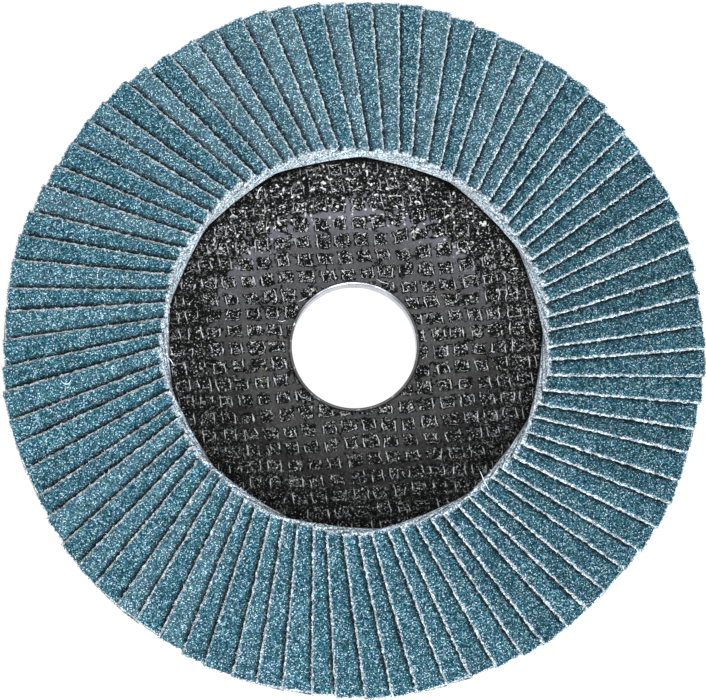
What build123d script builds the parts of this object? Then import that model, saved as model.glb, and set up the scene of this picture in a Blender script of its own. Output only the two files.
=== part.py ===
from build123d import *
from math import asin, atan2, ceil, cos, degrees, hypot, radians, sin, sqrt, tan
import os

# Flap disc for a 125 mm angle grinder, type 29 (conical face, depressed centre).
# It lies on its back: +Z is the abrasive side, and the origin is on the bore axis,
# in the plane of the rear clamping face. All lengths are in millimetres.

# ---- whole disc ----
disc_diameter = 125.0  # across the outer corners of the flaps
bore_diameter = 22.23

# ---- bore ring ----
ring_wall = 0.5
ring_flange_radius = 15.5
ring_bend = 0.35  # broken corner between the bore and the flange's rear face
ring_lead_in = 0.2  # broken inner edge at the front of the sleeve
ring_stand_out = 0.15  # how far the sleeve stands out of the hub's front

# ---- backing plate ----
hub_radius = 21.0  # flat seat for the flange nut
hub_thickness = 3.2
crest_radius = 29.5  # where the depressed centre turns into the cone
recess_depth = 3.2
rim_overhang = 5.0  # how far the flaps reach past the plate's rim
plate_thickness = 2.4
cone_angle = 8.5  # fall of the cone from crest to rim, in degrees

# ---- woven glass mesh on the front of the plate ----
film_thickness = 0.2  # resin film that carries the strands
strand_height = 0.3
strand_pitch_x = 3.56
strand_pitch_y = 3.05
strand_lean_x = 4.35  # how far the level strands rise to the right, in degrees
strand_lean_y = 8.3  # how far the upright strands lean to the left, in degrees
mesh_shift_x = -1.24  # where the cloth happens to lie over the bore
mesh_shift_y = 0.8
window_x = 2.0  # open square between two strands
window_y = 1.75
mesh_margin = 0.4  # plain resin beside the bore and beside the seat's edge

# ---- adhesive bed under the flaps ----
bed_thickness = 0.6
bed_inset = 1.5  # the bed stops short of the flaps' inner ends and of the rim

# ---- abrasive flaps ----
flap_count = 82
flap_phase = 1.62  # from +X to the first flap's centre line, in degrees
flap_length = 29.0
flap_width = 14.6
flap_thickness = 0.84
flap_wander = 0.28  # uneven spacing between flaps, in degrees
flap_slide = 0.3  # uneven reach between flaps
net_rows = 3  # flat facets along a flap
net_columns = 2  # flat facets across a flap
flaps_per_node = 2

# ---- clearances ----
flap_gap = 0.16  # between one flap and the next
bond_line = 0.02  # between laminated pieces
ring_fit = 0.03  # sleeve in the hub

# ---- derived sizes and places ----
plate_radius = disc_diameter / 2 - rim_overhang
bore_radius = bore_diameter / 2
sleeve_radius = bore_radius + ring_wall
hole_radius = sleeve_radius + ring_fit
hub_back = ring_wall + bond_line
hub_front = hub_back + hub_thickness
crest_front = hub_front + recess_depth
fall = tan(radians(cone_angle))
film_back = bond_line
film_front = film_back + film_thickness
strand_front = film_front + strand_height
bed_back = bond_line
bed_front = bed_back + bed_thickness

flap_angle = radians(360 / flap_count)
half_width = flap_width / 2
flap_outer = sqrt((disc_diameter / 2) ** 2 - half_width**2)
flap_inner = flap_outer - flap_length  # both measured along the flap's centre line
layer_rise = flap_thickness / cos(radians(cone_angle)) + flap_gap
climb = layer_rise / flap_angle  # height gained per radian, so that flaps nest
seat_gap = bond_line + climb * radians(flap_wander)
node_count = ceil(flap_count / flaps_per_node)


def cone_height(radius):
    # Front face of the plate on its conical part, also past the rim.
    return crest_front - (radius - crest_radius) * fall


def front_height(radius):
    # Front face of the plate: flat seat, rise to the crest, then the cone.
    rise = max(radius - hub_radius, 0) / (crest_radius - hub_radius)
    return min(hub_front + rise * recess_depth, cone_height(radius))


def contour(inner, outer, height):
    # Line of the plate's front face, raised by a height, from an inner to an outer radius.
    bends = [radius for radius in (hub_radius, crest_radius) if inner < radius < outer]
    return [(radius, front_height(radius) + height) for radius in (inner, *bends, outer)]


def edge_angle(radius):
    # Angle between a flap's centre line and its long edge, seen from the bore axis.
    return asin(half_width / radius)


def flap_height(along, across):
    # Underside of a flap. It leans on the flap before it, and its far edge meets the bed.
    radius = hypot(along, across)
    seat = cone_height(radius) + bed_front + seat_gap
    return seat + climb * (edge_angle(radius) - atan2(across, along))


def net_point(row, column):
    along = flap_inner + flap_length * row / net_rows
    across = flap_width * column / net_columns - half_width
    return Vector(along, across, flap_height(along, across))


def flap_seat(number):
    # A flap keeps to its own spiral face when it sits ahead, behind, further in or out.
    wander = radians(flap_wander) * sin(2.4 * number)
    slide = flap_slide * sin(5.3 * number + 1.0)
    twist = climb * (edge_angle(flap_inner) - edge_angle(flap_inner + flap_length))
    drop = climb * wander + slide * (fall + twist / flap_length)
    angle = radians(flap_phase) + flap_angle * number + wander
    turn = Rotation(0, 0, degrees(angle))
    return turn * Pos(slide, 0, -drop)


os.makedirs("parts", exist_ok=True)

# Backing plate: one pressed laminate with its hub, slope and cone in one wall.
with BuildPart() as backing_plate:
    with BuildSketch(Plane.XZ):
        with BuildLine():
            Polyline(
                (hole_radius, hub_back),
                (hub_radius, hub_back),
                (crest_radius, crest_front - plate_thickness),
                (plate_radius, cone_height(plate_radius) - plate_thickness),
                *reversed(contour(hole_radius, plate_radius, 0)),
                close=True,
            )
        make_face()
    revolve(axis=Axis.Z)
backing_plate.part.label = "backing_plate"
export_step(backing_plate.part, "parts/backing_plate.step")

# Bore ring: a stamped eyelet, its sleeve through the hub and its flange on the back.
ring_front = hub_front + strand_front + ring_stand_out
with BuildPart() as bore_ring:
    with BuildSketch(Plane.XZ) as ring_section:
        with BuildLine():
            Polyline(
                (bore_radius, 0),
                (ring_flange_radius, 0),
                (ring_flange_radius, ring_wall),
                (sleeve_radius, ring_wall),
                (sleeve_radius, ring_front),
                (bore_radius, ring_front),
                close=True,
            )
        make_face()
        bore_corners = ring_section.vertices().group_by(Axis.X)[0].sort_by(Axis.Y)
        chamfer(bore_corners[0], ring_bend)
        chamfer(bore_corners[-1], ring_lead_in)
    revolve(axis=Axis.Z)
bore_ring.part.label = "bore_ring"
export_step(bore_ring.part, "parts/bore_ring.step")

# Glass mesh: a resin film over the front, with crossed strands on the nut's seat.
mesh_outer = flap_inner + bed_inset - bond_line
window_reach = hypot(window_x, window_y) / 2 + mesh_margin
columns = ceil(hub_radius / strand_pitch_x)
rows = ceil(hub_radius / strand_pitch_y)
mesh_shift = Vector(mesh_shift_x, mesh_shift_y)
next_right = Vector(strand_pitch_x, 0).rotate(Axis.Z, strand_lean_x)
next_above = Vector(0, strand_pitch_y).rotate(Axis.Z, strand_lean_y)
window_places = []
for column in range(-columns, columns + 1):
    for row in range(-rows, rows + 1):
        place = mesh_shift + next_right * (column + 0.5) + next_above * row
        if hole_radius + window_reach < place.length < hub_radius - window_reach:
            window_places.append(place)

with BuildPart() as glass_mesh:
    with BuildSketch(Plane.XZ):
        with BuildLine():
            Polyline(
                *contour(hole_radius, mesh_outer, film_back),
                *reversed(contour(hole_radius, mesh_outer, strand_front)),
                close=True,
            )
        make_face()
    revolve(axis=Axis.Z)
    with BuildSketch(Plane.XY.offset(hub_front + film_front)):
        with Locations(*window_places):
            Rectangle(window_x, window_y, rotation=strand_lean_x)
    extrude(amount=strand_height, mode=Mode.SUBTRACT)
glass_mesh.part.label = "glass_mesh"
export_step(glass_mesh.part, "parts/glass_mesh.step")

# Adhesive bed: a conical ring of cured resin between the plate and the flaps.
bed_inner = flap_inner + bed_inset
bed_outer = plate_radius - bed_inset
with BuildPart() as adhesive_bed:
    with BuildSketch(Plane.XZ):
        with BuildLine():
            Polyline(
                (bed_inner, cone_height(bed_inner) + bed_back),
                (bed_outer, cone_height(bed_outer) + bed_back),
                (bed_outer, cone_height(bed_outer) + bed_front),
                (bed_inner, cone_height(bed_inner) + bed_front),
                close=True,
            )
        make_face()
    revolve(axis=Axis.Z)
adhesive_bed.part.label = "adhesive_bed"
export_step(adhesive_bed.part, "parts/adhesive_bed.step")

# One flap: stiff cloth, twisted so that it lies on its neighbour from end to end.
# Its face is a net of flat facets, pushed out square to the cone.
lean = Vector(sin(radians(cone_angle)), 0, cos(radians(cone_angle)))
with BuildPart() as flap:
    for row in range(net_rows):
        for column in range(net_columns):
            near, near_side = net_point(row, column), net_point(row, column + 1)
            far, far_side = net_point(row + 1, column), net_point(row + 1, column + 1)
            for corners in ((near, far, far_side), (near, far_side, near_side)):
                facet = Face(Wire.make_polygon(corners))
                extrude(facet, amount=flap_thickness, dir=lean)

# The ring of flaps, two neighbours to a node, each one a solid of its own.
for node in range(node_count):
    first = node * flaps_per_node
    with BuildPart() as flap_group:
        for number in range(first, min(first + flaps_per_node, flap_count)):
            with Locations(flap_seat(number)):
                add(flap.part)
    name = f"flaps_{node + 1:02d}"
    flap_group.part.label = name
    export_step(flap_group.part, f"parts/{name}.step")
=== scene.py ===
import bpy
import math
import numpy as np
from mathutils import Matrix, Vector


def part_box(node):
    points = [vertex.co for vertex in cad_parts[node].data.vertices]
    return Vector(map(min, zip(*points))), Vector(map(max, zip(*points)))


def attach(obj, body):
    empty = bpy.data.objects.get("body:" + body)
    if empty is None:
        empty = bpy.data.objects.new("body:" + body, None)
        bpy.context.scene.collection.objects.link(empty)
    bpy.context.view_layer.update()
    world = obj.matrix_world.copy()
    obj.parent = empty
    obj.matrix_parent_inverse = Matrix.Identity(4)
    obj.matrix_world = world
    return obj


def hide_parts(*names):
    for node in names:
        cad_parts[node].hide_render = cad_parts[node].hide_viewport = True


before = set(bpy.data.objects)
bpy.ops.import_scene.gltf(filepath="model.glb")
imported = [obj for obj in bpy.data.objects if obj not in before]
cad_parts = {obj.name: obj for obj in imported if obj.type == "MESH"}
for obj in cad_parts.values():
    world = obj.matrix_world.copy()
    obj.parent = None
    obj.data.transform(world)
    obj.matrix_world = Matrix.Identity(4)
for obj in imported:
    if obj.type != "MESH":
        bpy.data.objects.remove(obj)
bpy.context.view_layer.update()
mm = 0.001


class Signal:  # a shader socket that takes part in sums
    def __init__(self, finish, socket):
        self.finish = finish
        self.socket = socket

    def calc(self, operation, *others):
        sources = [self, *others]
        inputs = {index: source for index, source in enumerate(sources)}
        return self.finish.add("ShaderNodeMath", {"operation": operation}, inputs)

    def __add__(self, other):
        return self.calc("ADD", other)

    def __sub__(self, other):
        return self.calc("SUBTRACT", other)

    def __mul__(self, other):
        return self.calc("MULTIPLY", other)

    def __rsub__(self, other):
        return (self * -1.0) + other

    __radd__ = __add__
    __rmul__ = __mul__

    def between(self, low, high):  # 0 below low, 1 above high, smooth in between
        values = {"Value": self, "From Min": low, "From Max": high}
        return self.finish.add("ShaderNodeMapRange", {"interpolation_type": "SMOOTHSTEP"}, values)


class Finish:  # one material, or the world, and the nodes in it
    def __init__(self, name, kind="materials", shader="Principled BSDF"):
        self.material = getattr(bpy.data, kind).new(name)
        self.material.use_nodes = True
        self.tree = self.material.node_tree
        self.shader = self.tree.nodes[shader]

    def add(self, kind, settings=None, values=None, output=0):
        node = self.tree.nodes.new(kind)
        for key, value in (settings or {}).items():
            if key == "stops":
                ramp = node.color_ramp
                while len(ramp.elements) < len(value):
                    ramp.elements.new(1.0)
                for element, (place, colour) in zip(ramp.elements, value):
                    element.position = place
                    element.color = (*colour, 1.0)
            else:
                setattr(node, key, value)
        for key, value in (values or {}).items():
            self.plug(node, key, value)
        socket = node.outputs[output] if isinstance(output, int) else self.find(node.outputs, output)
        return Signal(self, socket)

    def find(self, sockets, key):
        for socket in sockets:
            if key in (socket.identifier, socket.name):
                return socket
        raise KeyError(key)

    def plug(self, node, key, value):
        socket = node.inputs[key] if isinstance(key, int) else self.find(node.inputs, key)
        if isinstance(value, Signal):
            self.tree.links.new(value.socket, socket)
        elif isinstance(value, tuple) and socket.type == "RGBA":
            socket.default_value = (*value, 1.0)
        else:
            socket.default_value = value

    def set(self, **values):  # sockets of the main shader, by name without spaces
        for key, value in values.items():
            spaced = "".join(" " + c if c.isupper() else c for c in key).strip()
            self.plug(self.shader, spaced[0].upper() + spaced[1:], value)

    def mix(self, factor, first, second, blend="MIX"):
        values = {"Factor_Float": factor, "A_Color": first, "B_Color": second}
        settings = {"data_type": "RGBA", "blend_type": blend}
        return self.add("ShaderNodeMix", settings, values, "Result_Color")

    def place(self):
        return self.add("ShaderNodeTexCoord", output="Object")

    def noise(self, where, scale, detail=2.0, roughness=0.5):
        values = {"Vector": where, "Scale": scale, "Detail": detail, "Roughness": roughness}
        return self.add("ShaderNodeTexNoise", None, values)

    def cells(self, where, scale, output="Distance"):
        return self.add("ShaderNodeTexVoronoi", None, {"Vector": where, "Scale": scale}, output)

    def split(self, colour, channel):
        return self.add("ShaderNodeSeparateColor", None, {"Color": colour}, channel)

    def stops(self, value, *stops):
        return self.add("ShaderNodeValToRGB", {"stops": stops}, {"Fac": value})

    def named(self, attribute):
        return self.add("ShaderNodeAttribute", {"attribute_name": attribute}, None, "Fac")

    def bump(self, height, strength, distance):
        values = {"Height": height, "Strength": strength, "Distance": distance}
        self.set(normal=self.add("ShaderNodeBump", None, values, "Normal"))


gritLook = {
    "grainSize": 0.22 * mm,
    "shadow": (0.002, 0.013, 0.023),
    "grain": (0.010, 0.067, 0.106),
    "paleGrain": (0.037, 0.150, 0.216),
    "brightGrain": (0.130, 0.272, 0.362),
    # the brightest grains, partly their own pale crystals and partly painted sparkle highlights
    "sparkle": (0.44, 0.58, 0.69),
    "dust": (0.26, 0.27, 0.27),  # painted sheen on the flaps that are painted paler
    "fringeReach": 0.68,  # mm of loose cloth fibres along a cut edge
    "creviceReach": 0.95,  # mm of shade beside the next flap's edge
}
clothLook = {
    "thread": (0.53, 0.67, 0.78),
    "tip": (0.76, 0.84, 0.90),  # ends of the threads, teased open
    "shade": (0.07, 0.11, 0.125),
    "speck": (0.36, 0.27, 0.24),
    "soiled": (0.340, 0.325, 0.275),  # thread in painted shade
    # painted shade deep in the cut edges
    "depths": (0.020, 0.022, 0.026),
}


def makeFibres(f, where):
    # colour of frayed cotton threads, with specks of resin and grit in them, and painted shade on the left of
    # the disc
    look = clothLook
    fibres = f.noise(where, 3000.0, 2.0, 0.6)
    paintedShadeAmount = f.named("soil") * (f.noise(where, 620.0, 2.0).between(0.42, 0.58) * 0.8 + 0.2)
    tuft = f.mix(paintedShadeAmount, look["thread"], look["soiled"])
    tuft = f.mix(f.noise(where, 1500.0, 0.0).between(0.52, 0.62) * 0.6, tuft, look["tip"])
    colour = f.mix(fibres.between(0.40, 0.56), look["shade"], tuft)
    specks = f.noise(where, 2300.0, 1.0)
    colour = f.mix(specks.between(0.57, 0.62) * 0.7, colour, look["speck"])
    colour = f.mix(specks.between(0.42, 0.34) * 0.8, colour, gritLook["grain"])
    return colour, fibres


def makeGritFinish():
    look = gritLook
    f = Finish("blueGrit")
    where = f.place()
    perMetre = 1.0 / look["grainSize"]
    grainTint = f.split(f.cells(where, perMetre, "Color"), "Red")
    grainDome = f.cells(where, perMetre)
    fineDome = f.cells(where, perMetre * 1.9)
    colour = f.stops(
        grainTint,
        (0.0, look["shadow"]),
        (0.22, look["grain"]),
        (0.52, look["paleGrain"]),
        (0.80, look["brightGrain"]),
        (0.95, look["sparkle"]),
    )
    green = f.noise(where, 640.0, 3.0).between(0.40, 0.60)
    colour = f.mix(green * 0.8, colour, (0.90, 1.0, 0.86), "MULTIPLY")
    gaps = grainDome.between(0.36, 0.66)
    colour = f.mix(gaps * 0.85, colour, look["shadow"])
    # painted sheen on the flaps that are painted paler
    dusty = f.named("shade").between(0.1, 0.9) * 0.08
    colour = f.mix(dusty, colour, look["dust"])
    patches = f.noise(where, 260.0, 3.0).between(0.3, 0.7)
    # painted shade beside the next flap's edge
    crevice = (f.named("open") + patches * 0.12).between(look["creviceReach"], 0.16)
    tone = (0.84 + patches * 0.2 + f.named("shade") * 0.25) * (1.0 - crevice * 0.86)
    colour = f.add(
        "ShaderNodeVectorMath",
        {"operation": "SCALE"},
        {"Vector": colour, "Scale": tone},
    )
    thread, fibres = makeFibres(f, where)
    ragged = f.noise(where, 1900.0, 3.0, 0.8) * 0.7 + f.noise(where, 860.0, 1.0) * 0.4 - 0.05
    fringe = (1.0 - f.named("fray") * (1.0 / look["fringeReach"]) + ragged * 2.4).between(1.50, 1.90)
    colour = f.mix(fringe * 0.9, colour, thread)
    f.set(baseColor=colour, roughness=grainTint * -0.3 + 0.62)
    f.shader.inputs["Specular IOR Level"].default_value = 0.07
    f.bump(grainDome * -0.8 - fineDome * 0.4 + grainTint * 0.5 + fringe * fibres * 0.6, 1.0, 0.16 * mm)
    return f.material


def makeClothFinish():
    look = clothLook
    f = Finish("cutCloth")
    where = f.place()
    thread, fibres = makeFibres(f, where)
    sunk = f.named("sunk")
    # painted shade deep in the cut edge and at the foot of the ends
    colour = f.mix((sunk + fibres * 0.4 - 0.2).between(0.25, 0.95), thread, look["depths"])
    f.set(baseColor=colour, roughness=fibres * 0.2 + 0.7)
    f.bump(fibres, 0.8, 0.10 * mm)
    return f.material


backLook = {
    "weft": (0.36, 0.24, 0.10),
    "warp": (0.52, 0.37, 0.18),
    "stain": (0.25, 0.16, 0.07),
    "threadCount": 420.0,  # bands of the weave, by scale
}


def makeClothBackFinish():
    look = backLook
    f = Finish("clothBack")
    where = f.place()
    values = {"Vector": where, "Scale": look["threadCount"]}
    warp, weft = (f.add("ShaderNodeTexWave", {"bands_direction": way}, values) for way in "XY")
    twill = warp * 0.5 + weft * 0.5
    stain = f.noise(where, 180.0, 3.0)
    colour = f.mix(twill, look["weft"], look["warp"])
    colour = f.mix(stain.between(0.45, 0.75) * 0.5, colour, look["stain"])
    f.set(baseColor=colour, roughness=stain * 0.2 + 0.6)
    f.bump(twill, 0.5, 0.08 * mm)
    return f.material


resinLook = {
    "pit": (0.004, 0.004, 0.004),
    "worn": (0.0022, 0.0020, 0.0018),
    "backWorn": (0.022, 0.022, 0.023),
    # painted sheen on the dull strands, paler toward the top
    "dusty": (0.026, 0.026, 0.027),
    "chalky": (0.058, 0.058, 0.076),
    "glass": (0.16, 0.15, 0.07),
    "glint": (0.70, 0.72, 0.74),  # painted highlights on the resin and its bare glass fibre
}


def makeLaminateFinish(name, wornColour):
    look = resinLook
    f = Finish(name)
    where = f.place()
    upright, level = f.named("upright"), f.named("level")
    dust, calm = f.named("dust"), f.named("calm")
    haze = f.noise(where, 1400.0, 3.0, 0.6)
    grainy = f.noise(where, 4300.0, 2.0, 0.7)
    blotch = f.noise(where, 300.0, 2.0)
    # the dull strands' colour, with a painted sheen that grows toward the top
    satin = f.stops(
        dust + blotch * 0.3 + grainy * 0.9 - 0.6,
        (0.0, wornColour),
        (0.5, look["dusty"]),
        (1.0, look["chalky"]),
    )
    dull = (f.named("dull") + haze * 0.9 + grainy * 0.5 - 0.7).between(0.42, 0.56)
    colour = f.mix(dull, look["pit"], satin)
    bare = f.noise(where, 1300.0, 1.0).between(0.66, 0.74) * (1 - dull)
    colour = f.mix(bare * 0.35, colour, look["glass"])
    crinkle = f.add(
        "ShaderNodeTexNoise",
        None,
        {"Vector": where, "Scale": 2300.0, "Detail": 1.0, "Roughness": 0.6, "Distortion": 1.4},
    )
    flat = upright.calc("MAXIMUM", level).between(0.65, 0.95)
    # painted highlights: squiggles and dots in the windows, lines along the strands' rims, spots on the upper
    # slope
    squiggles = 1.0 - (crinkle - 0.5).calc("ABSOLUTE").between(0.008, 0.05)
    broken = f.noise(where, 1700.0, 1.0).between(0.50, 0.62)
    broken = broken * f.noise(where, 480.0, 1.0).between(0.38, 0.52)
    dots = f.noise(where, 3300.0, 1.0).between(0.62, 0.70)
    glint = (squiggles * broken * 0.8).calc("MAXIMUM", dots) * (1.0 - flat * 0.62)
    brimUp = (1.0 - (upright + haze * 0.4 - 0.7).calc("ABSOLUTE").between(0.04, 0.22)) * (1.0 - level)
    brimUp = brimUp * f.noise(where, 520.0, 1.0).between(0.43, 0.50)
    brimLevel = (1.0 - (level + haze * 0.5 - 0.7).calc("ABSOLUTE").between(0.03, 0.14)) * (1.0 - upright)
    brimLevel = brimLevel * f.noise(where, 700.0, 1.0).between(0.55, 0.62) * 0.8
    glint = glint.calc("MAXIMUM", brimUp * (1.15 - dust * 0.6))
    glint = glint.calc("MAXIMUM", brimLevel * (dust * 0.6 + 0.6))
    spots = f.noise(where, 1500.0, 0.0).between(0.70, 0.75) * dust.between(0.6, 0.95) * (1.0 - dull * 0.6)
    # painted shade beside the flaps: the painted highlights are taken out there
    glint = (glint * (1.0 - dull * 0.82)).calc("MAXIMUM", spots) * (1.0 - calm)
    # painted highlights are brighter where the painted light is stronger
    glint = glint * (dust * 0.75 + 0.56).calc("MINIMUM", 0.86)
    colour = f.mix(glint, colour, look["glint"])
    f.set(baseColor=colour, roughness=dull * 0.30 + haze * 0.06 + 0.12, coatWeight=dull * 0.07)
    f.shader.inputs["Specular IOR Level"].default_value = 0.09
    f.shader.inputs["Coat Roughness"].default_value = 0.42
    f.bump(crinkle * (1.1 - dull), 1.0, 0.9 * mm)
    return f.material


zincLook = {
    "bright": (0.46, 0.48, 0.54),
    "stain": (0.24, 0.26, 0.31),
    "streak": (0.16, 0.17, 0.21),
    "resin": (0.020, 0.020, 0.020),
    "turning": (300.0, 300.0, 5200.0),  # the marks run round the sleeve
}


def makeZincFinish():
    look = zincLook
    f = Finish("zincSheet")
    where = f.place()
    stretched = f.add("ShaderNodeMapping", None, {"Vector": where, "Scale": look["turning"]})
    turned = f.noise(stretched, 1.0, 3.0)
    stain = f.noise(where, 420.0, 2.0)
    colour = f.mix(stain.between(0.4, 0.7), look["bright"], look["stain"])
    colour = f.mix(turned.between(0.50, 0.66) * 0.6, colour, look["streak"])
    smear = f.named("smear") * f.noise(where, 700.0, 2.0).between(0.30, 0.42)  # resin run over the rim
    colour = f.mix(smear, colour, look["resin"])
    f.set(baseColor=colour, metallic=1.0 - smear, roughness=turned * 0.2 + 0.16 + smear * 0.3)
    f.bump(turned, 0.35, 0.05 * mm)
    return f.material


bedLook = {"deep": (0.030, 0.028, 0.026), "cloud": (0.085, 0.080, 0.070)}


def makeAdhesiveFinish():
    f = Finish("curedResin")
    where = f.place()
    cloudy = f.noise(where, 240.0, 3.0)
    colour = f.mix(cloudy.between(0.3, 0.7), bedLook["deep"], bedLook["cloud"])
    f.set(baseColor=colour, roughness=cloudy * 0.3 + 0.2)
    f.bump(f.noise(where, 700.0, 2.0), 0.6, 0.2 * mm)
    return f.material


looseLook = {"shade": (0.40, 0.50, 0.56), "light": (0.64, 0.71, 0.74)}


def makeThreadFinish():
    f = Finish("looseThread")
    where = f.place()
    twist = f.noise(where, 2500.0, 1.0)
    colour = f.mix(twist, looseLook["shade"], looseLook["light"])
    f.set(baseColor=colour, roughness=twist * 0.2 + 0.5)
    return f.material


gritFinish = makeGritFinish()
clothFinish = makeClothFinish()
clothBackFinish = makeClothBackFinish()
frontFinish = makeLaminateFinish("frontLaminate", resinLook["worn"])
backFinish = makeLaminateFinish("backLaminate", resinLook["backWorn"])
zincFinish = makeZincFinish()
adhesiveFinish = makeAdhesiveFinish()
threadFinish = makeThreadFinish()
print("finishes made")


disc = {
    "diameter": 125.0,
    "holeRadius": 11.645,
    "hubRadius": 21.0,  # the hub is flat out to here
    "hubBack": 0.52,
    "crestRadius": 29.5,  # past it the cone falls away
    "coneAngle": 8.5,
    "recess": 3.2,  # depth of the hub under the crest
    "wall": 2.4,
    "filmFront": 0.52,  # height of the laminate over the plate
    "bedFront": 0.62,  # and of the resin bed
    "bendReach": 1.6,
}
flapShape = {
    "count": 82,
    "perNode": 2,  # flaps in each piece of the frame
    "phase": 1.62,  # degrees
    "length": 29.0,
    "width": 14.6,
    "thickness": 0.84,
    "gap": 0.16,  # between one flap and the next
    "bond": 0.02,  # between a flap and the resin bed
    "wander": 0.28,  # degrees that a flap strays to a side
    "slide": 0.3,  # mm that it strays in or out
}

plateHigh, ringHigh, meshHigh = (
    np.array(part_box(node)[1]) / mm for node in ("backing_plate", "bore_ring", "glass_mesh")
)
plateRadius = plateHigh[0]
crestFront = plateHigh[2]
hubFront = crestFront - disc["recess"]
hubBack = disc["hubBack"]
holeRadius = disc["holeRadius"]
fall = math.tan(math.radians(disc["coneAngle"]))


def coneHeight(radius):
    return crestFront - (radius - disc["crestRadius"]) * fall


def softProfile(radius, knots, reach):
    # a bent line through the knots, with its corners rounded over the reach
    radii, heights = zip(*knots)
    offsets = np.linspace(-1.0, 1.0, 13) * reach
    return np.mean([np.interp(radius + o, radii, heights) for o in offsets], axis=0)


def frontFace(radius):
    farOut = plateRadius + 8.0
    knots = (
        (0.0, hubFront),
        (disc["hubRadius"], hubFront),
        (disc["crestRadius"], crestFront),
        (farOut, coneHeight(farOut)),
    )
    return softProfile(radius, knots, disc["bendReach"])


def backFace(radius):
    farOut = plateRadius + 8.0
    knots = (
        (0.0, hubBack),
        (disc["hubRadius"], hubBack),
        (disc["crestRadius"], crestFront - disc["wall"]),
        (farOut, coneHeight(farOut) - disc["wall"]),
    )
    return softProfile(radius, knots, disc["bendReach"])


def lumps(x, y, size, seed):
    # smooth random field between -1 and 1, with lumps of about that size
    lattice = np.random.default_rng(seed).uniform(-1.0, 1.0, (256, 256))
    u, v = x / size + 97.0, y / size + 61.0
    i, j = np.floor(u).astype(int), np.floor(v).astype(int)
    s, t = u - i, v - j
    s, t = s * s * (3 - 2 * s), t * t * (3 - 2 * t)
    i0, i1, j0, j1 = i % 256, (i + 1) % 256, j % 256, (j + 1) % 256
    low = lattice[i0, j0] * (1 - s) + lattice[i1, j0] * s
    high = lattice[i0, j1] * (1 - s) + lattice[i1, j1] * s
    return low * (1 - t) + high * t


def makePiece(name, points, faces, materials, slots=None, smooth=True, marks=None):
    # points in millimetres; slots gives each face's material; marks are named point values
    mesh = bpy.data.meshes.new(name)
    mesh.from_pydata((np.asarray(points) * mm).tolist(), [], faces)
    for material in materials:
        mesh.materials.append(material)
    if slots is not None:
        mesh.polygons.foreach_set("material_index", np.asarray(slots, dtype=np.int32))
    for key, values in (marks or {}).items():
        attribute = mesh.attributes.new(key, "FLOAT", "POINT")
        attribute.data.foreach_set("value", np.asarray(values, dtype=np.float32))
    mesh.polygons.foreach_set("use_smooth", np.full(len(mesh.polygons), smooth))
    mesh.update()
    piece = bpy.data.objects.new(name, mesh)
    bpy.context.collection.objects.link(piece)
    return piece


def gridFaces(rows, columns, start=0, closed=False):
    # quads of a grid of points stored row by row; closed joins the last column to the first
    row = np.arange(rows - 1)[:, None]
    column = np.arange(columns if closed else columns - 1)[None, :]
    after = (column + 1) % columns
    a = row * columns + column
    b = row * columns + after
    c = (row + 1) * columns + after
    d = (row + 1) * columns + column
    quads = np.stack([a, b, c, d], axis=-1).reshape(-1, 4) + start
    return quads.tolist()


def ringPoints(radii, heights, turns):
    # heights may be one per radius, or a whole grid of them
    angle = np.linspace(0.0, 2 * math.pi, turns, endpoint=False)
    radii = np.asarray(radii)[:, None] * np.ones(turns)[None, :]
    heights = np.asarray(heights)
    if heights.ndim == 1:
        heights = heights[:, None] * np.ones(turns)[None, :]
    return np.stack([radii * np.cos(angle), radii * np.sin(angle), heights], axis=-1).reshape(-1, 3)


weave = {
    "pitchX": 3.56,
    "pitchY": 3.05,
    "leanX": 4.35,  # degrees that the level strands rise to the right
    "leanY": 8.3,  # degrees that the upright strands lean to the left
    "shiftX": -1.24,  # where the cloth happens to lie over the bore
    "shiftY": 0.8,
    "strandX": 1.40,  # width of the strands that run up
    "strandY": 1.30,  # width of the strands that run across
    "height": 0.30,
    "backHeight": 0.22,
    "skew": 0.12,  # the second cloth lies turned under the first, in radians
    "dullRadius": 24.2,
    "dullFade": 4.4,
    "paintedLightReach": 80.0,  # mm over which the painted light thins out, from the top of the disc down
    "underFlapShadeRadius": 32.4,  # past it the painted highlights give way to painted shade beside the flaps
}


def strandRow(across, along, pitch, width, seed):
    # 0 in the gap to 1 on a pressed-flat strand
    wavy = across + lumps(across, along, 9.0, seed) * 0.35 + lumps(across, along, 2.6, seed + 1) * 0.16
    wavy = wavy + lumps(across, along, 0.9, seed + 3) * 0.17
    nearest = np.abs((wavy / pitch + 0.5) % 1.0 - 0.5) * pitch
    uneven = 0.13 * lumps(across, along, 3.1, seed + 2) + 0.07 * lumps(across, along, 1.3, seed + 4)
    spread = width * (0.5 + uneven)
    ridge = np.clip(1.0 - nearest / spread, 0.0, 1.0)  # 1 along the middle of a strand
    return 1.0 / (1.0 + np.exp((nearest - spread) / 0.11)), ridge


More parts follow.
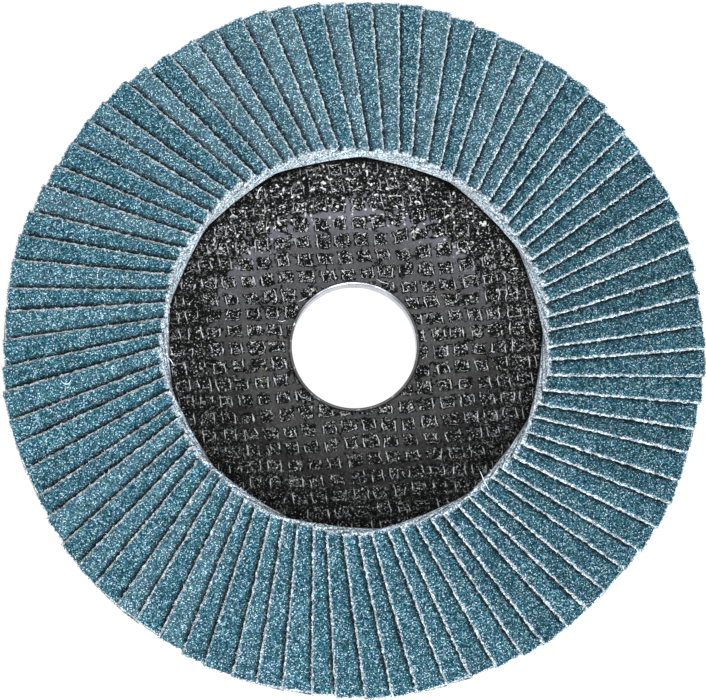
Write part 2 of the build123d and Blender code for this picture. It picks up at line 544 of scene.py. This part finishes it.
def weaveRelief(x, y, seed, front=True):
    leanX, leanY = math.radians(weave["leanX"]), math.radians(weave["leanY"])
    squeeze = math.cos(leanY - leanX)
    pitchX, pitchY = weave["pitchX"] * squeeze, weave["pitchY"] * squeeze
    radius = np.hypot(x, y)
    slope = np.clip((radius - 19.5) / 5.0, 0.0, 1.0)
    # painted light, stronger toward the top of the disc and on the upper side of the slope
    dust = np.clip(0.32 + y / weave["paintedLightReach"] + 0.5 * slope * y / radius, 0.0, 1.0)
    fade = np.clip((radius - weave["dullRadius"]) / weave["dullFade"], 0.0, 1.0)
    calm = np.clip((radius - weave["underFlapShadeRadius"]) / 0.8, 0.0, 1.0)
    if not front:  # the back is worn evenly and gets its painted light evenly
        dust, fade, calm = dust * 0 + 0.3, fade * 0, calm * 0
    x, y = x - weave["shiftX"], y - weave["shiftY"]
    u = x * math.cos(leanY) + y * math.sin(leanY)  # distance across the upright strands
    v = y * math.cos(leanX) - x * math.sin(leanX)
    upright, uprightRidge = strandRow(u, v, pitchX, weave["strandX"], seed)
    level, levelRidge = strandRow(v - pitchY / 2, u, pitchY, weave["strandY"], seed + 10)
    strand = np.maximum(upright, level)
    crossing = upright * level
    c, s = math.cos(weave["skew"]), math.sin(weave["skew"])
    xs, ys = x * c + y * s + 1.1, y * c - x * s + 0.7
    under = np.maximum(
        strandRow(xs, ys, pitchX, weave["strandX"] * 0.6, seed + 20)[0],
        strandRow(ys, xs, pitchY, weave["strandY"] * 0.6, seed + 30)[0],
    )
    pool = 0.30 * lumps(x, y, 0.62, seed + 40) + 0.22 * lumps(x, y, 0.36, seed + 41)
    floor = 0.22 + 0.25 * under + pool
    broken = 0.10 * lumps(x, y, 0.8, seed + 43) + 0.06 * lumps(x, y, 0.4, seed + 44)
    height = strand * (0.84 + 0.10 * crossing + broken) + (1 - strand) * np.clip(floor, -0.2, 0.8)
    # the strands are worn dull along their middles; past the slope the resin is glossy all over
    patch = np.clip(np.maximum(1.45 * levelRidge, 1.05 * uprightRidge), 0.0, 0.86)
    patch = patch + 0.26 * lumps(x, y, 1.7, seed + 50) + 0.44 * lumps(x, y, 0.62, seed + 51)
    marks = {
        "upright": upright,
        "level": level,
        "dull": np.clip(patch - fade, 0.0, 1.0),
        "dust": dust,
        "calm": calm,
    }
    return np.clip(height, -0.2, 1.0), marks


centre = {
    "rows": 104,
    "turns": 800,
    "plainLip": 0.9,  # smooth resin round the hole
    "edgeRound": 0.35,
    "edgeDrop": 0.18,
    "underRadii": (31.5, 29.5, 27.5, 23.5, 22.0, 21.0, 20.0, 19.0),  # where the hidden face bends
    "seed": 11,
}


def makeGlassMesh():
    outer = meshHigh[0]
    radii = np.linspace(holeRadius, outer, centre["rows"])
    angle = np.linspace(0.0, 2 * math.pi, centre["turns"], endpoint=False)
    radius = radii[:, None] * np.ones_like(angle)[None, :]
    x, y = radius * np.cos(angle), radius * np.sin(angle)
    relief, marks = weaveRelief(x, y, centre["seed"])
    lip = 1.0 - np.clip((radius - holeRadius) / centre["plainLip"], 0.0, 1.0) ** 2
    relief = np.maximum(relief, lip * 0.96)
    marks["level"] = np.maximum(marks["level"], lip)
    top = frontFace(radius) + disc["filmFront"] - weave["height"] * (1.0 - relief)
    edge = np.clip((radius - holeRadius) / centre["edgeRound"], 0.0, 1.0)
    top = top - centre["edgeDrop"] * (1.0 - edge) ** 2
    points = ringPoints(radii, top, centre["turns"])
    underRadii = np.array([outer, *centre["underRadii"], holeRadius])
    under = ringPoints(underRadii, frontFace(underRadii) + 0.02, centre["turns"])
    faces = gridFaces(centre["rows"], centre["turns"], closed=True)
    start = (centre["rows"] - 1) * centre["turns"]
    faces += gridFaces(2, centre["turns"], start=start, closed=True)
    faces += gridFaces(len(underRadii), centre["turns"], start=len(points), closed=True)
    points = np.vstack([points, under])
    marks = {key: np.concatenate([values.ravel(), np.zeros(len(under))]) for key, values in marks.items()}
    piece = makePiece("wovenCentre", points, faces, [frontFinish], marks=marks)
    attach(piece, "root")
    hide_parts("glass_mesh")


makeGlassMesh()
print("woven centre made")


plate = {
    "rows": 92,
    "turns": 720,
    "rimRound": 0.35,
    "rimWaves": 0.05,  # how far the trimmed rim strays
    "frontRadii": (50.0, 40.0, 33.0, 31.0, 29.5, 28.0, 22.5, 21.0, 19.5),  # where the hidden face bends
    "seed": 57,
}


def makeBackingPlate():
    turns = plate["turns"]
    radii = np.linspace(holeRadius, plateRadius - plate["rimRound"], plate["rows"])
    angle = np.linspace(0.0, 2 * math.pi, turns, endpoint=False)
    radius = radii[:, None] * np.ones_like(angle)[None, :]
    x, y = radius * np.cos(angle), radius * np.sin(angle)
    relief, marks = weaveRelief(x, y, plate["seed"], front=False)
    hidden = 1.0 - np.clip((radius - ringHigh[0]) / 1.5, 0.0, 1.0)
    relief = relief * (1 - hidden) + hidden
    back = backFace(radius) + weave["backHeight"] * (1.0 - relief)
    rough = plate["rimWaves"] * lumps(angle * plateRadius, angle * 0, 1.2, plate["seed"])
    backRows = ringPoints(radii, back, turns)
    rimRound, wall = plate["rimRound"], disc["wall"]
    lifts = np.array([rimRound, wall * 0.35, wall * 0.65, wall - rimRound])
    rim = ringPoints([plateRadius] * len(lifts), backFace(plateRadius) + lifts, turns).reshape(-1, turns, 3)
    rim[:, :, 0] += np.cos(angle) * (rough - plate["rimWaves"])
    rim[:, :, 1] += np.sin(angle) * (rough - plate["rimWaves"])
    frontRadii = np.array([plateRadius - rimRound, *plate["frontRadii"], holeRadius])
    front = ringPoints(frontRadii, frontFace(frontRadii), turns)
    points = np.vstack([backRows, rim.reshape(-1, 3), front])
    rows = plate["rows"] + len(lifts) + len(frontRadii)
    faces = [face[::-1] for face in gridFaces(rows, turns, closed=True)]
    last = (rows - 1) * turns
    for turn in range(turns):
        after = (turn + 1) % turns
        faces.append([turn, after, last + after, last + turn])
    rest = len(points) - relief.size
    marks = {key: np.concatenate([values.ravel(), np.full(rest, 0.3)]) for key, values in marks.items()}
    piece = makePiece("pressedPlate", points, faces, [backFinish], marks=marks)
    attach(piece, "root")
    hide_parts("backing_plate")


makeBackingPlate()
print("backing plate made")


ring = {
    "bore": 11.115,
    "wall": 0.5,
    "bend": 0.35,  # at the back, where the sheet turns into the flange
    "lip": 0.22,  # at the front
    "flangeRound": 0.12,
    "turns": 192,
}


def arc(centreX, centreZ, size, fromAngle, toAngle, steps):
    angles = np.radians(np.linspace(fromAngle, toAngle, steps))
    return [(centreX + size * math.cos(a), centreZ + size * math.sin(a)) for a in angles]


def makeBoreRing():
    bore, wall, bend, lip = (ring[key] for key in ("bore", "wall", "bend", "lip"))
    flange, front, rounding = ringHigh[0], ringHigh[2], ring["flangeRound"]
    outline = arc(bore + bend, bend, bend, 180, 270, 6)
    outline += arc(flange - rounding, rounding, rounding, 270, 360, 4)
    outline += arc(flange - rounding, wall - rounding, rounding, 0, 90, 4)
    outline += [(bore + wall, wall), (bore + wall, front - lip)]
    outline += arc(bore + wall - lip, front - lip, lip, 0, 180, 9)[1:-1]
    outline += [(bore, front - lip - 0.15), (bore, front * 0.66), (bore, front * 0.33)]
    radii, heights = zip(*outline)
    turns = ring["turns"]
    points = ringPoints(radii, heights, turns)
    faces = [face[::-1] for face in gridFaces(len(outline), turns, closed=True)]
    last = (len(outline) - 1) * turns
    for turn in range(turns):
        after = (turn + 1) % turns
        faces.append([turn, after, last + after, last + turn])
    low = front - lip - 0.1
    smear = [1.0 if height > low and radius > bore + 0.02 else 0.0 for radius, height in outline]
    cleanPart = np.clip(1.6 * np.sin(np.linspace(0.0, 2 * math.pi, turns, endpoint=False)) - 0.75, 0.0, 1.0)
    marks = {"smear": np.outer(smear, 1.0 - cleanPart).ravel()}
    piece = makePiece("boreEyelet", points, faces, [zincFinish], marks=marks)
    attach(piece, "root")
    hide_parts("bore_ring")


makeBoreRing()
print("bore ring made")


halfWidth = flapShape["width"] / 2
flapOuter = math.sqrt((disc["diameter"] / 2) ** 2 - halfWidth**2)
flapInner = flapOuter - flapShape["length"]
flapAngle = 2 * math.pi / flapShape["count"]
layerRise = flapShape["thickness"] / math.cos(math.radians(disc["coneAngle"])) + flapShape["gap"]
climb = layerRise / flapAngle
seatGap = flapShape["bond"] + climb * math.radians(flapShape["wander"])

cloth = {
    "rows": 92,  # along a flap
    "openColumns": 20,  # across the part that shows
    "openWidth": 5.6,
    "hiddenColumns": 3,
    "grit": 0.06,
    "ragged": 0.16,
    "wallSteps": (0.68, 0.34),  # two stations down the cut edge
    "soil": 0.9,  # how much painted shade the threads get on the left of the disc
    "leftShadeSpread": 0.4,  # how much wider the painted shade beside each edge is on the left
    "innerShade": 0.45,  # how deep in shade the inner ends start on the left
    "topLight": 0.55,  # how much paler the foot of the inner ends is at the top
    "rimDepth": 0.4,  # and how much painted shade lies at the foot of the outer ends
    "paleSide": 0.6,  # painted light: the flaps are painted paler on one side, which is this many degrees round
    "paleTurn": 150.0,
    "paleBelt": 0.36,  # and painted paler at the top and the bottom
    "roundReach": 0.58,  # the cut edge is worn round over this width
    "roundDrop": 0.36,
    "cornerWear": 0.085,  # mm lost to each mm past the start
    "cornerStart": 2.2,
    "cornerReach": 2.2,
    "whiskers": 30,  # loose fibres along the cut edge
    "endWhiskers": 34,  # and at the inner end
    "whiskerLength": 0.55,
    "whiskerWidth": 0.06,
}


def flapUnderside(along, across):
    radius = np.hypot(along, across)
    seat = coneHeight(radius) + disc["bedFront"] + seatGap
    return seat + climb * (np.arcsin(halfWidth / radius) - np.arctan2(across, along))


def flapNormal(along, across):
    step = 0.05
    dx = (flapUnderside(along + step, across) - flapUnderside(along - step, across)) / (2 * step)
    dy = (flapUnderside(along, across + step) - flapUnderside(along, across - step)) / (2 * step)
    normal = np.stack([-dx, -dy, np.ones_like(dx)], axis=-1)
    return normal / np.linalg.norm(normal, axis=-1, keepdims=True)


def wanderOf(number):
    return math.radians(flapShape["wander"]) * math.sin(2.4 * number)


def seatOf(number):
    wander = wanderOf(number)
    slide = flapShape["slide"] * math.sin(5.3 * number + 1.0)
    twist = climb * (math.asin(halfWidth / flapInner) - math.asin(halfWidth / flapOuter))
    drop = climb * wander + slide * (fall + twist / flapShape["length"])
    turn = Matrix.Rotation(math.radians(flapShape["phase"]) + flapAngle * number + wander, 4, "Z")
    return np.array(turn @ Matrix.Translation((slide, 0.0, -drop)))


def coveredCorner(along, across):
    # the outer corner that lies under the next flaps is worn back to the line of their ends
    near = np.clip((along - flapOuter) / cloth["cornerReach"] + 1.0, 0.0, 1.0)
    return cloth["cornerWear"] * np.clip(across - cloth["cornerStart"], 0.0, None) * near


def flapPoints(number):
    # a closed slab of cloth: fine facets where it shows, few where it doesn't
    chance = np.random.default_rng(700 + number)
    rows = cloth["rows"]
    edge = cloth["roundReach"] * np.array([0.0, 0.22, 0.5])
    shown = np.linspace(cloth["roundReach"], cloth["openWidth"], cloth["openColumns"] - len(edge))
    shown = np.concatenate([edge, shown])
    hidden = np.linspace(cloth["openWidth"], flapShape["width"], cloth["hiddenColumns"] + 1)[1:]
    across = np.concatenate([shown, hidden]) - halfWidth
    along = np.linspace(flapInner, flapOuter, rows)
    x, y = np.meshgrid(along, across, indexing="ij")
    fray = chance.normal(0.0, 1.0, (4, rows)) * cloth["ragged"] * 0.5
    fray[:, 1:] = fray[:, 1:] * 0.7 + fray[:, :-1] * 0.5
    endFray = chance.normal(0.0, 1.0, (2, len(across))) * cloth["ragged"] * 0.6
    y[:, 0] += np.clip(fray[0], -0.1, 0.2) + 0.05
    x[0, :] += np.clip(endFray[0], -0.1, 0.12) + 0.08
    x[-1, :] -= np.clip(endFray[1] * 1.5, -0.12, 0.18) + 0.08
    x -= coveredCorner(x, y)
    base = np.stack([x, y, flapUnderside(x, y)], axis=-1)
    normal = flapNormal(x, y)
    grit = chance.normal(0.0, 1.0, x.shape) * cloth["grit"]
    grit[:, cloth["openColumns"]:] = 0.0
    level = np.clip(flapShape["thickness"] - 0.04 + grit, 0.6, flapShape["thickness"] + 0.06)
    inset = (across + halfWidth)[None, :] + np.clip(fray[2], -0.2, 0.2)[:, None]
    level = level - cloth["roundDrop"] * np.clip(1.0 - inset / cloth["roundReach"], 0.0, 1.0) ** 2
    top = base + normal * level[..., None]
    lowAcross = np.linspace(-halfWidth, halfWidth, 5)
    lx, ly = np.meshgrid(along, lowAcross, indexing="ij")
    ly[:, 0] += np.clip(fray[1], -0.1, 0.2)
    lx = lx - coveredCorner(lx, ly)
    bottom = np.stack([lx, ly, flapUnderside(lx, ly)], axis=-1)
    walls = []
    for step, sway in zip(cloth["wallSteps"], fray[2:]):
        wall = bottom[:, 0] * (1 - step) + top[:, 0] * step
        wall = wall + np.stack([sway * 0, sway * 0.9 - 0.03, sway * 0.3], axis=-1)
        walls.append(wall)
    return top, bottom, walls


def whiskerMesh(number, bottom, top):
    # loose fibres that stand out of the cut edge and of the inner end
    chance = np.random.default_rng(9000 + number)
    points, faces = [], []
    for count in range(cloth["whiskers"] + cloth["endWhiskers"]):
        level = chance.uniform(0.25, 0.95)
        if count < cloth["whiskers"]:
            row = chance.integers(1, cloth["rows"] - 1)
            root = bottom[row, 0] * (1 - level) + top[row, 0] * level
            heading = np.array([chance.normal(0, 0.8), -0.6, chance.uniform(-0.1, 0.8)])
        else:
            column = chance.integers(0, cloth["openColumns"] - 2)
            root = top[0, column] - np.array([0.0, 0.0, flapShape["thickness"] * (1 - level)])
            heading = np.array([-0.7, chance.normal(0, 0.9), chance.uniform(-0.7, 0.7)])
        reach = cloth["whiskerLength"] * chance.uniform(0.3, 1.0)
        heading = heading / np.linalg.norm(heading)
        side = np.cross(heading, (0.0, 0.0, 1.0))
        side = side / np.linalg.norm(side) * cloth["whiskerWidth"]
        lift = np.cross(side, heading)
        bendPoint = root + heading * reach * 0.55 + np.array([0, 0, 0.06])
        tip = root + heading * reach + np.array([chance.normal(0, 0.08), chance.normal(0, 0.08), -0.02])
        start = len(points)
        for place, size in ((root, 1.0), (bendPoint, 0.8)):
            corners = (side, lift - side * 0.5, -lift - side * 0.5)
            points += [place + corner * size for corner in corners]
        points.append(tip)
        for k in range(3):
            n = (k + 1) % 3
            faces.append([start + k, start + n, start + 3 + n, start + 3 + k])
            faces.append([start + 3 + k, start + 3 + n, start + 6])
    return np.array(points), faces


def slabFaces(rows, columns, lowColumns):
    # top, underside, cut edge with its two stations, the far edge and both ends
    grit, cut, back = range(3)
    bottomStart = rows * columns
    wallStart = bottomStart + rows * lowColumns
    faces = gridFaces(rows, columns)
    slots = [grit] * len(faces)
    under = [face[::-1] for face in gridFaces(rows, lowColumns, start=bottomStart)]
    faces += under
    slots += [back] * len(under)
    for row in range(rows - 1):
        ladder = [row * columns, wallStart + row, wallStart + rows + row, bottomStart + row * lowColumns]
        stepped = [index + stride for index, stride in zip(ladder, (columns, 1, 1, lowColumns))]
        faces += [[ladder[k], stepped[k], stepped[k + 1], ladder[k + 1]] for k in range(3)]
        a, b = row * columns + columns - 1, bottomStart + row * lowColumns + lowColumns - 1
        faces.append([a, b, b + lowColumns, a + columns])
    for row, flip in ((0, False), (rows - 1, True)):
        upper = [row * columns + k for k in range(columns)]
        lower = [bottomStart + row * lowColumns + k for k in reversed(range(lowColumns))]
        loop = upper + lower + [wallStart + rows + row, wallStart + row]
        faces.append(loop if flip else loop[::-1])
    slots += [cut] * (len(faces) - len(slots))
    return faces, slots


def flapMarks(number, top, lowColumns, points):
    # what the finishes read: mm to a cut edge, depth in the wall for painted shade, mm to the next flap's
    # edge, painted shade on the threads
    along, across = top[..., 0], top[..., 1]
    rows, columns = along.shape
    rest = len(points) - along.size
    leftness = 0.5 - 0.5 * math.cos(flapAngle * number)
    topness = max(math.sin(flapAngle * number), 0.0)
    fray = np.minimum(across + halfWidth, (flapOuter - along) * 4.5)
    fray = np.minimum(fray, (along - flapInner) * 0.5)
    ahead = flapAngle + wanderOf(number + 1) - wanderOf(number)
    bare = along * math.sin(ahead) - across * math.cos(ahead) - halfWidth
    fray = np.where(bare < 0.2, np.minimum(fray, flapOuter - along), fray)
    rimward = np.clip((along - flapOuter + 1.3) / 0.5, 0.0, 1.0)  # the rim is open to the light
    bare = np.maximum(bare, bare * (1.0 - rimward) + 1.5 * rimward)
    # painted shade spreads wider on the left
    bare = bare / (1.0 + cloth["leftShadeSpread"] * leftness)
    high = np.zeros((rows, columns))
    high[0] = cloth["innerShade"] * leftness * (1.0 - topness)
    low = np.ones((rows, lowColumns))
    low[0] = 1.0 - cloth["topLight"] * topness
    low[-1] = cloth["rimDepth"]
    depths = np.concatenate([high.ravel(), low.ravel(), np.full(rows, 0.1), np.full(rows, 0.6)])
    soil = cloth["soil"] * leftness**2 * (1.0 - 0.5 * topness)
    return {
        "fray": np.concatenate([fray.ravel(), np.zeros(rest)]),
        "sunk": np.concatenate([depths, np.zeros(len(points) - len(depths))]),
        "open": np.concatenate([bare.ravel(), np.full(rest, 9.0)]),
        "soil": soil * np.clip((points[:, 0] - flapInner - 0.6) / 2.0, 0.0, 1.0),  # the inner ends get no painted shade
    }


def flapMesh(number):
    top, bottom, walls = flapPoints(number)
    lowColumns = bottom.shape[1]
    faces, slots = slabFaces(*top.shape[:2], lowColumns)
    slab = np.vstack([top.reshape(-1, 3), bottom.reshape(-1, 3), *walls])
    whiskers, hairs = whiskerMesh(number, bottom, top)
    faces += [[index + len(slab) for index in face] for face in hairs]
    slots += [1] * len(hairs)
    points = np.vstack([slab, whiskers])
    marks = flapMarks(number, top, lowColumns, points)
    place = seatOf(number)
    return points @ place[:3, :3].T + place[:3, 3], faces, slots, marks


def makeFlaps():
    perNode = flapShape["perNode"]
    tones = np.random.default_rng(5).uniform(-0.4, 0.4, flapShape["count"])
    turns = flapAngle * np.arange(flapShape["count"])
    # painted light: paler on one side and at the top and the bottom; the random part is each flap's own tone
    tones = tones + cloth["paleSide"] * np.cos(turns - math.radians(cloth["paleTurn"]))
    tones = tones - cloth["paleBelt"] * np.cos(2 * turns)
    for node in range(-(-flapShape["count"] // perNode)):
        points, faces, slots = [], [], []
        marks = {"shade": [], "fray": [], "sunk": [], "open": [], "soil": []}
        for number in range(node * perNode, min((node + 1) * perNode, flapShape["count"])):
            newPoints, newFaces, newSlots, newMarks = flapMesh(number)
            start = sum(len(p) for p in points)
            points.append(newPoints)
            faces += [[index + start for index in face] for face in newFaces]
            slots += newSlots
            newMarks["shade"] = np.full(len(newPoints), tones[number])
            for key, values in newMarks.items():
                marks[key].append(values)
        name = f"{node + 1:02d}"
        materials = [gritFinish, clothFinish, clothBackFinish]
        marks = {key: np.concatenate(values) for key, values in marks.items()}
        piece = makePiece("clothFlaps" + name, np.vstack(points), faces, materials, slots, marks=marks)
        piece.data.polygons.foreach_set("use_smooth", np.array(slots) == 2)
        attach(piece, "root")
        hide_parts("flaps_" + name)


makeFlaps()
print("flaps made")


threads = {
    "size": 0.085,  # half the thickness, in mm
    "sides": 6,
    "steps": 14,
    "settle": 0.35,  # mm that they sink between the edges
    # x and y that each one passes through, and how high it lies over the flaps or the laminate
    "onFlaps": {
        "threadSouthEast": ((21.7, -23.2, 0.2), (22.4, -24.9, 0.5), (23.3, -26.5, 0.1)),
        "threadNorthWest": ((-17.4, 25.6, 0.1), (-17.1, 26.5, 0.4), (-16.6, 27.1, 0.1)),
        "threadNorthEast": ((27.4, 12.5, 0.1), (27.9, 12.7, 0.4), (28.6, 12.7, 0.1)),
        "threadWest": ((-32.9, -3.4, 0.1), (-32.4, -3.9, 0.4), (-31.9, -4.8, 0.1)),
        "threadFarWest": ((-52.0, -6.7, 0.1), (-51.3, -7.6, 0.3), (-50.4, -7.6, 0.3), (-50.0, -6.8, 0.1)),
    },
    "onLaminate": {
        "fibreBoreLeft": ((-13.6, 4.5, 0.0), (-12.9, 4.3, 0.25), (-12.2, 4.6, 0.1)),
        "fibreBoreTop": ((-9.9, 8.0, 0.0), (-9.3, 8.2, 0.2), (-8.5, 8.7, 0.0)),
        "fibreBoreRight": ((4.0, 12.1, 0.0), (4.9, 11.5, 0.2), (6.2, 11.2, 0.0)),
    },
}


def threadMesh(stations, share=1.0):
    # a soft tube through the stations, thinner at both ends
    stations = np.array(stations)
    knots = np.linspace(0.0, 1.0, len(stations))
    places = np.linspace(0.0, 1.0, threads["steps"])
    line = np.stack([np.interp(places, knots, stations[:, k]) for k in range(3)], axis=-1)
    for _ in range(3):
        line[1:-1] = (line[:-2] + 2 * line[1:-1] + line[2:]) / 4
    heading = np.gradient(line, axis=0)
    heading /= np.linalg.norm(heading, axis=1, keepdims=True)
    side = np.cross(heading, (0.0, 0.0, 1.0))
    side /= np.linalg.norm(side, axis=1, keepdims=True)
    over = np.cross(side, heading)
    size = threads["size"] * share * (0.45 + 0.55 * np.sin(math.pi * places))
    turn = np.linspace(0.0, 2 * math.pi, threads["sides"], endpoint=False)
    rings = side[:, None] * np.cos(turn)[:, None] + over[:, None] * np.sin(turn)[:, None]
    points = line[:, None] + rings * size[:, None, None]
    faces = gridFaces(threads["steps"], threads["sides"], closed=True)
    faces.append(list(range(threads["sides"])))
    last = (threads["steps"] - 1) * threads["sides"]
    faces.append([last + k for k in reversed(range(threads["sides"]))])
    return points.reshape(-1, 3), faces


def makeThreads():
    for name, stations in threads["onFlaps"].items():
        lifted = []
        for x, y, lift in stations:
            radius = max(math.hypot(x, y), flapInner + 1.0)  # at the inner ends it hangs at their height
            seat = coneHeight(radius) + disc["bedFront"] + seatGap
            heap = seat + 2 * climb * math.asin(halfWidth / radius) + flapShape["thickness"]
            lifted.append((x, y, heap - threads["settle"] + lift))
        piece = makePiece(name, *threadMesh(lifted), [threadFinish])
        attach(piece, "root")
    for name, stations in threads["onLaminate"].items():
        lifted = []
        for x, y, lift in stations:
            face = float(frontFace(math.hypot(x, y)))
            lifted.append((x, y, face + disc["filmFront"] + lift))
        piece = makePiece(name, *threadMesh(lifted, 0.6), [threadFinish])
        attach(piece, "root")


makeThreads()
print("loose threads made")


bed = {"inner": 34.6, "outer": 56.4, "rows": 24, "turnsPerFlap": 6, "skin": 0.06}


def makeAdhesive():
    turns = flapShape["count"] * bed["turnsPerFlap"]
    radii = np.linspace(bed["inner"], bed["outer"], bed["rows"])
    angle = np.linspace(0.0, 2 * math.pi, turns, endpoint=False)
    radius = radii[:, None] * np.ones_like(angle)[None, :]
    top = coneHeight(radius) + disc["bedFront"] - bed["skin"]
    low = coneHeight(radii) + 0.02
    points = np.vstack([ringPoints(radii, top, turns), ringPoints(radii[::-1], low[::-1], turns)])
    rows = 2 * bed["rows"]
    faces = gridFaces(rows, turns, closed=True)
    last = (rows - 1) * turns
    for turn in range(turns):
        after = (turn + 1) % turns
        faces.append([turn, last + turn, last + after, after][::-1])
    piece = makePiece("resinBed", points, faces, [adhesiveFinish])
    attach(piece, "root")
    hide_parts("adhesive_bed")


makeAdhesive()
print("adhesive made")


stage = {
    "floorSize": 3.0,
    "floorGap": 0.05,  # mm under the disc
    "shadowShare": 0.16,  # how much of a shadow the white floor keeps
    "world": 0.605,  # what the white room sheds on the disc
}
lamps = (
    # name, degrees round from +X, height angle, distance, size, watts
    ("keyLamp", -80.0, 46.0, 0.75, 0.28, 7.8),
    ("rightLamp", -20.0, 38.0, 0.80, 0.14, 0.8),
    ("leftLamp", 190.0, 44.0, 0.80, 0.14, 1.2),
    ("backLamp", 95.0, 79.0, 0.34, 0.12, 0.92),
)
shot = {
    "distance": 0.62,
    "elevation": 82.0,
    "leanLeft": 12.0,  # degrees that the view comes round from straight below the frame
    "frameWidth": 0.1256,  # width of the view at the disc
    "aim": (0.0, 0.0, 0.005),
    "shiftX": -0.0021,
    "shiftY": -0.0064,
}


def raySeen(f):
    # 1 for what the camera, a gloss or a clear piece looks at, and 0 for what only lights
    kinds = ("Is Camera Ray", "Is Glossy Ray", "Is Transmission Ray")
    camera, glossy, clear = (f.add("ShaderNodeLightPath", output=kind) for kind in kinds)
    return (camera + glossy + clear).calc("MINIMUM", 1.0)


def makeStage():
    f = Finish("paleFloor")
    glow = f.add("ShaderNodeEmission", None, {"Color": (1.0, 1.0, 1.0), "Strength": 1.0})
    f.set(baseColor=(0.9, 0.9, 0.9), roughness=0.8)
    plain = Signal(f, f.shader.outputs["BSDF"])
    values = {0: raySeen(f) * (1.0 - stage["shadowShare"]), 1: plain, 2: glow}
    both = f.add("ShaderNodeMixShader", None, values)
    f.plug(f.tree.nodes["Material Output"], "Surface", both)
    half = stage["floorSize"] / 2 / mm
    low = -stage["floorGap"]
    corners = [(-half, -half, low), (half, -half, low), (half, half, low), (-half, half, low)]
    floor = makePiece("floor", np.array(corners), [[0, 1, 2, 3]], [f.material])


def makeWorld():
    f = Finish("studio", "worlds", "Background")
    levels = {"Value": raySeen(f), "To Min": stage["world"], "To Max": 1.0}
    f.set(color=(1.0, 1.0, 1.0), strength=f.add("ShaderNodeMapRange", None, levels))
    bpy.context.scene.world = f.material


def aimAt(thing, place, target, up):
    back = (Vector(place) - Vector(target)).normalized()
    right = Vector(up).cross(back).normalized()
    over = back.cross(right)
    turn = Matrix((right, over, back)).transposed()
    thing.matrix_world = Matrix.Translation(place) @ turn.to_4x4()


def makeLamps():
    for name, heading, height, distance, size, watts in lamps:
        lamp = bpy.data.lights.new(name, "AREA")
        lamp.shape = "DISK"
        lamp.size = size
        lamp.energy = watts
        thing = bpy.data.objects.new(name, lamp)
        bpy.context.collection.objects.link(thing)
        a, h = math.radians(heading), math.radians(height)
        reach = distance * math.cos(h)
        place = (reach * math.cos(a), reach * math.sin(a), distance * math.sin(h))
        aimAt(thing, place, (0.0, 0.0, 0.005), (0.0, 0.0, 1.0))


def makeCamera():
    camera = bpy.data.cameras.new("camera")
    camera.sensor_width = 36.0
    camera.lens = camera.sensor_width * shot["distance"] / shot["frameWidth"]
    camera.shift_x = shot["shiftX"]
    camera.shift_y = shot["shiftY"]
    camera.clip_start = 0.01
    thing = bpy.data.objects.new("camera", camera)
    bpy.context.collection.objects.link(thing)
    e, a = math.radians(shot["elevation"]), math.radians(shot["leanLeft"])
    aim = Vector(shot["aim"])
    way = Vector((-math.cos(e) * math.sin(a), -math.cos(e) * math.cos(a), math.sin(e)))
    aimAt(thing, aim + way * shot["distance"], aim, (0.0, 1.0, 0.0))
    bpy.context.scene.camera = thing


makeStage()
makeWorld()
makeLamps()
makeCamera()
bpy.context.scene.view_settings.view_transform = "Standard"
print("stage, lamps and camera made")
